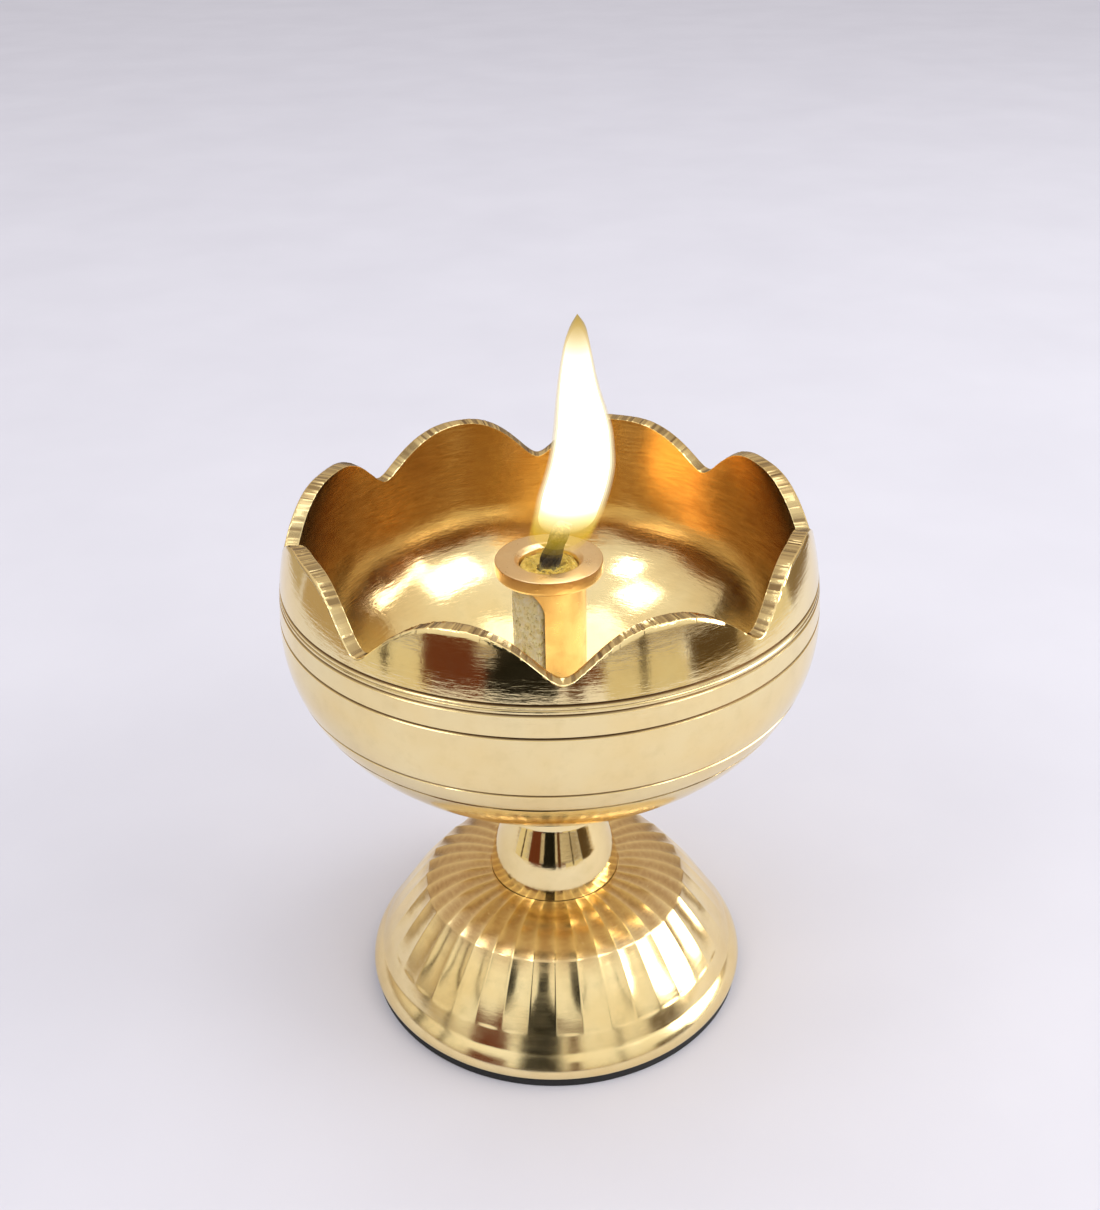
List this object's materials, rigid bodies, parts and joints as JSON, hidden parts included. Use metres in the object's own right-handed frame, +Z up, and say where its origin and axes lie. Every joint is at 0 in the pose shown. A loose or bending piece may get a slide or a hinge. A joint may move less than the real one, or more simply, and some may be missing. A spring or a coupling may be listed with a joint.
{
  "type": "diya oil lamp",
  "caption": "Footed brass oil lamp with a petal-rimmed bowl, a lift-off flanged wick holder, a lit cotton wick, a turned neck and a fluted hollow foot.",
  "frame": {"origin": "centre of the underside, on the surface that the lamp stands on", "axes": "+Z up along the lamp's axis; +X to the right as the picture is taken, +Y away from the camera"},
  "size_m": [0.07, 0.07, 0.0993],
  "materials": {
    "polished_brass": "turned and polished brass, pale gold",
    "holder_brass": "turned brass with a coppery tan tone, satin top face",
    "neck_brass": "polished brass",
    "foot_brass": "polished fluted brass",
    "oiled_cotton": "oil-soaked cotton wool",
    "burnt_wick": "twisted cotton, charred at the tip",
    "flame": "luminous yellow-white flame, thin at its edge",
    "pad_rubber": "matt black rubber",
    "zinc_steel": "zinc-plated steel"
  },
  "bodies": {
    "lamp": {"bowl": "polished_brass", "neck": "neck_brass", "foot": "foot_brass", "foot_pad": "pad_rubber", "tie_bolt": "zinc_steel", "spring_washer": "zinc_steel", "flat_washer": "zinc_steel"},
    "holder": {"wick_holder": "holder_brass", "cotton_packing": "oiled_cotton"},
    "wick": {"wick": "burnt_wick", "flame": "flame"}
  },
  "joints": [
    {"name": "holder_lift", "type": "slide", "parent": "lamp", "child": "holder", "axis": [0, 0, 1], "range_m": [0, 0.04]},
    {"name": "wick_feed", "type": "slide", "parent": "holder", "child": "wick", "axis": [0, 0, 1], "range_m": [0, 0.006]}
  ]
}
